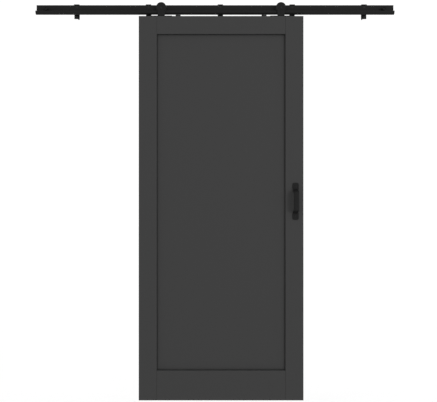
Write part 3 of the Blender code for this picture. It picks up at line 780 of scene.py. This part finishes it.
# %% Mould the bumpers
for side in SIDES:
    node = f"stop_bumper_{side}"
    low, high = corners(node)
    middle, length, radius = (low + high) / 2, high[1] - low[1], 0.010
    front_round, back_round, mouth_round = 0.002, 0.0008, 0.0006
    waist, pocket, pocket_floor = radius - 0.0006, 0.006, length - 0.007
    profile = np.concatenate(
        (
            arc((radius - front_round, length - front_round), front_round, 90, 0, 6),
            [(radius, length * 0.62), (waist, length * 0.56)],
            [(waist, length * 0.44), (radius, length * 0.38)],
            arc((radius - back_round, back_round), back_round, 0, -90, 4),
            [(BOLT_HOLE, 0), (BOLT_HOLE, pocket_floor), (pocket, pocket_floor)],
            arc((pocket + mouth_round, length - mouth_round), mouth_round, 180, 90, 3),
        )
    )
    centre = (middle[0], high[1], middle[2])
    stand_for(turned(f"rubber_stop_{side}", profile, centre, "-y", 72, True), node)
print("two bumpers moulded")

# %% [markdown]
# ## Wheels
# A wheel is one turned profile: a crowned tread that sits in the round trough, two rims, a thin
# web and a hub that holds the ball bearing. The tread's arc has a slightly smaller radius than
# the trough, so the wheel touches along one line and rolls easily. Behind the strap the bearing
# shows its rings and its balls, which are small spheres laid round a circle in one array. Each
# ring has a round race, a tenth of a millimetre wider than a ball, so that the balls run free.

# %% Turn the wheels and fill the bearings
BALL, BALLS, BALL_CIRCLE, RACE = 0.00135, 13, 0.0076, 0.00145
INNER_RING, OUTER_RING = (0.0040, 0.0064), (0.0088, 0.0110)
CAGE_LOW, CAGE_HIGH = (0.0069, -0.0011), (0.0083, 0.0011)
RACE_OPEN = math.degrees(math.acos((OUTER_RING[0] - BALL_CIRCLE) / RACE))


def sphere_ring(name, centre, ring_radius, ball_radius, count, rows=11, sides=16):
    """Balls spaced round a circle in the XZ plane. A ball's point at latitude a and longitude b
    is its own spot on the circle plus ball_radius * (sin a cos b, cos a, sin a sin b)."""
    pole = 0.02
    lat = np.linspace(pole, math.pi - pole, rows)[None, :, None]
    lon = np.linspace(0, 2 * math.pi, sides, endpoint=False)[None, None]
    spot = np.linspace(0, 2 * math.pi, count, endpoint=False)[:, None, None]
    x = ring_radius * np.cos(spot) + ball_radius * np.sin(lat) * np.cos(lon)
    z = ring_radius * np.sin(spot) + ball_radius * np.sin(lat) * np.sin(lon)
    y = np.broadcast_to(ball_radius * np.cos(lat), x.shape)
    caps = np.array([np.arange(sides)[::-1], np.arange(sides) + (rows - 1) * sides])
    offset = (np.arange(count) * rows * sides)[:, None, None]
    quads = (grid_faces(rows, sides)[None] + offset).reshape(-1, 4).tolist()
    ends = (caps[None] + offset).reshape(-1, sides).tolist()
    return closed_mesh(name, np.stack((x, y, z), -1) + np.array(centre), quads + ends)


for side in SIDES:
    low, high = corners(f"wheel_{side}")
    middle, radius, edge = (low + high) / 2, (high[2] - low[2]) / 2, (high[1] - low[1]) / 2
    crown, chamfer = 0.008, 0.0004
    spread = math.degrees(math.asin((edge - chamfer) / crown))
    rim = radius - crown + crown * math.cos(math.radians(spread))
    hub = [(0.0113, 0.0045), (0.0138, 0.0045), (0.0142, 0.0041), (0.0150, 0.0027)]
    web = [(0.0155, 0.0025), (0.0198, 0.0025), (0.0204, 0.0028)]
    flank = [(0.0212, edge - chamfer), (0.0216, edge), (rim - 0.0006, edge)]
    front = hub + web + flank
    back = [(r, -h) for r, h in front[::-1]]
    tread = arc((radius - crown, 0), crown, spread, -spread, 24).tolist()
    wheel = turned(f"rolling_wheel_{side}", front + tread + back, middle, "-y", 96, True)
    stand_for(wheel, f"wheel_{side}", sharp=30)

    balls = sphere_ring(f"bearing_balls_{side}", middle, BALL_CIRCLE, BALL, BALLS)
    band = rounded(rectangle(CAGE_LOW, CAGE_HIGH), 0.0003, 3)
    cage = turned("cage", band, middle, "y", 72, True)
    stand_for(weld(balls, cage), f"bearing_cage_{side}")
    for node, (bore, rim), facing, place in (
        (f"bearing_outer_ring_{side}", OUTER_RING, 0, 16),
        (f"bearing_inner_ring_{side}", INNER_RING, 180, 8),
    ):
        low, high = corners(node)
        half = (high[1] - low[1]) / 2
        shell = rounded(rectangle((bore, -half), (rim, half)), 0.0003, 3)
        race = arc((BALL_CIRCLE, 0), RACE, facing + RACE_OPEN, facing - RACE_OPEN, 8)
        shell = np.concatenate((shell[:place], race, shell[place:]))
        ring = turned(node.replace("bearing", "race"), shell, (low + high) / 2, "y", 72, True)
        stand_for(ring, node)

    node = f"axle_spacer_{side}"
    low, high = corners(node)
    sleeve_high = ((high[0] - low[0]) / 2, high[1] - low[1])
    sleeve = rounded(rectangle((0.0041, 0), sleeve_high), 0.0004, 3)
    centre = ((low[0] + high[0]) / 2, low[1], (low[2] + high[2]) / 2)
    stand_for(turned(f"axle_sleeve_{side}", sleeve, centre, "y", 72, True), node)
print("two wheels turned, with", BALLS, "balls each")

# %% [markdown]
# ## Strap hangers
# The strap is flat bar with a round head, bent back at the bottom into a foot that lies on the
# door's top edge and widens into two wings. It is easiest in three eased sweeps that are then
# welded: the keyhole plate, the bend seen from the side, and the wings. The bend is a hair
# smaller than the other two, because faces in the very same place would flicker.

# %% Bend the hangers
HAIR = 2e-5

for side in SIDES:
    node = f"hanger_strap_{side}"
    low, high = corners(node)
    x, thick, half, bend, ease = (low[0] + high[0]) / 2, 0.0045, 0.020, 0.006, 0.0005
    head_radius, axle_hole, hole_steps, wing_front = 0.0274, 0.0043, 32, -0.0415
    head_z, bend_z = high[2] - head_radius, low[2] + bend

    shoulder = math.degrees(math.acos(half / head_radius))
    round_head = arc((x, head_z), head_radius, -shoulder, 180 + shoulder, 80)
    keyhole = np.concatenate(([(x - half, bend_z), (x + half, bend_z)], round_head))
    plate = swept(f"hanger_{side}", keyhole, low[1], low[1] + thick, "y", ease)

    knee = (low[1] + bend, bend_z)
    front, back, top = low[1] + HAIR, low[1] + thick - HAIR, low[2] + thick - HAIR
    elbow = np.concatenate(
        (
            arc(knee, bend - HAIR, 180, 270, 14),
            [(high[1] - HAIR, low[2] + HAIR), (high[1] - HAIR, top)],
            arc(knee, bend - thick + HAIR, 270, 180, 8),
            [(back, bend_z + 0.004), (front, bend_z + 0.004)],
        )
    )
    foot = swept("foot", elbow, x - half + HAIR, x + half - HAIR, "x", ease)
    wing_shape = rounded(rectangle((low[0], wing_front), (high[0], high[1])), 0.003)
    wings = swept("wings", wing_shape, low[2], low[2] + thick, "z", ease)

    axle_low, axle_high = corners(f"axle_bolt_{side}")
    axle = ((axle_low + axle_high) / 2)[[0, 2]]
    last = 360 - 360 / hole_steps
    circle = arc(axle, axle_hole, 0, last, hole_steps - 1)
    cut(plate, swept("drill", circle, low[1] - 0.01, low[1] + 0.01, "y", 0))
    stand_for(weld(plate, foot, wings), node)
    print(node, len(plate.data.polygons), "faces, box", [round(v, 4) for v in plate.dimensions])

# %% [markdown]
# ## Anti-jump discs
# Two nylon discs screwed on the door's top edge pass just under the rail. If the door is bumped
# upwards they meet the rail before a wheel can climb out of the trough.

# %% Turn the discs
for side in SIDES:
    node = f"anti_jump_disc_{side}"
    low, high = corners(node)
    middle, tall, radius = (low + high) / 2, high[2] - low[2], (high[0] - low[0]) / 2
    top_round, foot_round, sink, bore, cone = 0.0015, 0.0005, 0.0048, 0.00255, 0.0028
    profile = np.concatenate(
        (
            [(sink, tall)],
            arc((radius - top_round, tall - top_round), top_round, 90, 0, 6),
            arc((radius - foot_round, foot_round), foot_round, 0, -90, 3),
            [(bore, 0), (bore, tall - cone)],
        )
    )
    centre = (middle[0], middle[1], low[2])
    stand_for(turned(f"jump_disc_{side}", profile, centre, "z", 72, True), node)
print("two discs turned")

# %% [markdown]
# ## Door leaf
# The leaf is frame and panel joinery. Two stiles run the full height, a top and a bottom rail fit
# between them on short tenons, and a thin panel floats in a groove. Each board is an eased sweep:
# the rounded arris is what draws the fine dark line where two boards meet. The groove is cut with
# a board-shaped tool, as on a router table. The panel's field stands a little clear of the frame
# and steps down to the tongue that runs in the groove, which leaves a dark line all round it.

# %% Shape the boards
ARRIS = 0.0012
SHADOW_GAP, TONGUE_STEP = 0.0028, 0.0032
TENON_INSET, GROOVE_DEPTH = 0.0006, 0.0098
RUN_OUT = 0.01


def board(name, low, high, axis, ease=ARRIS):
    """A board between two corners, swept along its length with every edge eased."""
    u, v, w = AXES[axis]
    low, high = np.array(low), np.array(high)
    outline = rounded(rectangle(low[[u, v]], high[[u, v]]), max(ease, 1e-5), 4 if ease else 1)
    return swept(name, outline, low[w], high[w], axis, 0.9 * ease)


panel_low, panel_high = corners("door_panel")
slot_low, slot_high = panel_low - CLEARANCE, panel_high + CLEARANCE
for side in SIDES:
    node = f"stile_{side}"
    low, high = corners(node)
    stile = board(f"door_stile_{side}", low, high, "z")
    router_low = (slot_low[0], slot_low[1], low[2] - RUN_OUT)
    router_high = (slot_high[0], slot_high[1], high[2] + RUN_OUT)
    groove = board("router", router_low, router_high, "z", ease=0)
    stand_for(cut(stile, groove), node, PAINT_UPRIGHT)

stile_low, stile_high = corners("stile_left")
inner_left, inner_right = stile_high[0], corners("stile_right")[0][0]
for end, node in (("top", "door_top_rail"), ("bottom", "door_bottom_rail")):
    low, high = corners(node)
    member_low = (inner_left + CLEARANCE, stile_low[1], low[2])
    member_high = (inner_right - CLEARANCE, stile_high[1], high[2])
    member = board(f"door_rail_{end}", member_low, member_high, "x")
    router_low = (low[0] - RUN_OUT, slot_low[1], slot_low[2])
    router_high = (high[0] + RUN_OUT, slot_high[1], slot_high[2])
    cut(member, board("router", router_low, router_high, "x", ease=0))
    if end == "top":
        tenon_foot, tenon_top = low[2] + GROOVE_DEPTH, high[2] - TENON_INSET
    else:
        tenon_foot, tenon_top = low[2] + TENON_INSET, high[2] - GROOVE_DEPTH
    tenon_low = (low[0], panel_low[1], tenon_foot)
    tenon_high = (high[0], panel_high[1], tenon_top)
    tenon = board("tenon", tenon_low, tenon_high, "x", ease=0)
    stand_for(weld(member, tenon), node, PAINT_LEVEL)

opening_low = np.array((inner_left, panel_low[1], corners("door_bottom_rail")[1][2]))
opening_high = np.array((inner_right, panel_high[1], corners("door_top_rail")[0][2]))
inset, step = np.array((SHADOW_GAP, 0, SHADOW_GAP)), np.array((0, TONGUE_STEP, 0))
panel = board("door_field_panel", opening_low + inset, opening_high - inset, "z", ease=0.0005)
tongue = board("tongue", panel_low + step, panel_high - step, "z", ease=0.0005)
stand_for(weld(panel, tongue), "door_panel", PAINT_PANEL)
leaf_high = corners("stile_right")[1]
print("leaf:", [round(v, 4) for v in (leaf_high - stile_low)])

# %% [markdown]
# ## Pull handle
# The pull is forged from one bar: two flat feet, two sloping legs and a straight grip between
# them. Its section is a superellipse, |x|^n + |y|^n = 1 with n = 3.2: flatter than an oval and
# rounder than a box, so its flanks darken softly. It is carried along the bar's middle line. The
# line leaves a foot gently, like half a cosine wave, and the bar thins where it runs into the
# foot. The feet are eased plates with round corners, welded on at the end.

# %% Forge the pull
def superellipse(turn, power=3.2):
    """Points of |x|^n + |y|^n = 1: each of cos and sin keeps its sign and is raised to 2 / n."""
    x, y = np.cos(turn), np.sin(turn)
    return np.sign(x) * np.abs(x) ** (2 / power), np.sign(y) * np.abs(y) ** (2 / power)


low, high = corners("pull_handle")
middle, half_height = (low + high) / 2, (high[2] - low[2]) / 2
door_face, reach = high[1], high[1] - low[1]
grip_width, grip_thick, grip_half = 0.030, 0.007, 0.046
pad_tall, pad_thick, pad_round = 0.040, 0.004, 0.009
leg_foot, leg_thin, leg_steps, grip_steps, taper_steps = -0.0022, 0.0032, 17, 7, 7

share = np.linspace(0, 1, leg_steps)
leg_start, grip_y = half_height - pad_tall + 0.006, grip_thick / 2 - reach
leg_y = leg_foot + (grip_y - leg_foot) * (1 - np.cos(math.pi * share)) / 2
leg_z = leg_start + (grip_half - leg_start) * share
straight = np.linspace(grip_half, -grip_half, grip_steps + 2)[1:-1]
path_y = np.concatenate((leg_y, np.full(grip_steps, leg_y[-1]), leg_y[::-1]))
path_z = np.concatenate((leg_z, straight, -leg_z[::-1]))
path = np.stack((path_y, path_z), -1)
along = np.gradient(path, axis=0)
along /= np.linalg.norm(along, axis=1, keepdims=True)
across = np.stack((-along[:, 1], along[:, 0]), -1)

stations = np.arange(len(path))
taper = np.clip(np.minimum(stations, stations[::-1]) / taper_steps, 0, 1)
thickness = leg_thin + (grip_thick - leg_thin) * taper
bar_x, bar_y = superellipse(around(56)[0])
offset = thickness[:, None, None] * bar_y[None, :, None] / 2 * across[:, None]
rings = np.empty((len(path), len(bar_x), 3))
rings[..., 0] = middle[0] + grip_width / 2 * bar_x
rings[..., 1:] = np.array((door_face, middle[2])) + path[:, None] + offset
pull = solid("door_pull", rings)

feet = []
for end in (-1, 1):
    z = middle[2] + end * (half_height - pad_tall / 2)
    foot_low, foot_high = (low[0], z - pad_tall / 2), (high[0], z + pad_tall / 2)
    outline = rounded(rectangle(foot_low, foot_high), pad_round, 8)
    feet.append(swept("foot", outline, door_face - pad_thick, door_face, "y", 0.0008))
stand_for(weld(pull, *feet), "pull_handle", sharp=35)
print("pull:", [round(v, 4) for v in pull.dimensions])

# %% [markdown]
# ## Studio
# The floor is plain and pale and lies well below the door, because the set hangs on a wall. An
# even white sky lights everything, as a light tent would. A broad, soft sun from the right adds a
# little direction: it throws the pull's shadow onto the stile. A sun's light does not fade with
# distance, so the tall leaf stays evenly lit. The camera stands straight in front, level with the
# middle of the leaf, and the Standard view keeps white walls white.

# %% Floor, light and camera
scene = bpy.context.scene
scene.view_settings.view_transform = "Standard"

floor_recipe = Recipe("studio_floor", Roughness=0.9, Specular_IOR_Level=0.1)
floor_tone = floor_recipe.noise(1.5)
floor_recipe.set(Base_Color=floor_recipe.blend(floor_tone, grey(0.93), grey(0.95)))
floor_z, floor_half = cad_low[2] - 0.70, 40.0
floor_corners = rectangle((-floor_half, -floor_half), (floor_half, floor_half))
floor_mesh = bpy.data.meshes.new("studio_floor")
floor_mesh.from_pydata([(x, y, floor_z) for x, y in floor_corners], [], [(0, 1, 2, 3)])
floor_mesh.materials.append(floor_recipe.material)
floor = bpy.data.objects.new("studio_floor", floor_mesh)
scene.collection.objects.link(floor)

sky = bpy.data.worlds.new("studio_sky")
sky.use_nodes = True
background = sky.node_tree.nodes["Background"]
background.inputs["Color"].default_value = grey(1.0)
background.inputs["Strength"].default_value = 1.06
scene.world = sky

lamp_data = bpy.data.lights.new("soft_key", "SUN")
lamp_data.angle = math.radians(24)
lamp_data.energy = 1.2
lamp = bpy.data.objects.new("soft_key", lamp_data)
lamp.location = (2.2, -3.4, 1.0)
sun_ray = Vector((-0.62, 0.80, -0.06))
lamp.rotation_euler = sun_ray.to_track_quat("-Z", "Y").to_euler()
scene.collection.objects.link(lamp)

camera_data = bpy.data.cameras.new("camera")
camera_data.lens = 50.0
camera_data.sensor_width = 36.0
camera = bpy.data.objects.new("camera", camera_data)
camera.location = (-0.0104, -3.417, -1.0628)
camera.rotation_euler = (math.pi / 2, 0, 0)
scene.collection.objects.link(camera)
scene.camera = camera
print("camera", [round(v, 3) for v in camera.location])

# %% [markdown]
# ## Check the size
# The dressed model must fill the same box as the plain one.

# %% Write the sizes
worst = {node: round(MISFIT[node] * 1000, 2) for node in sorted(MISFIT, key=MISFIT.get)[-4:]}
print(len(MISFIT), "stand-ins; largest misfits in mm:", worst)
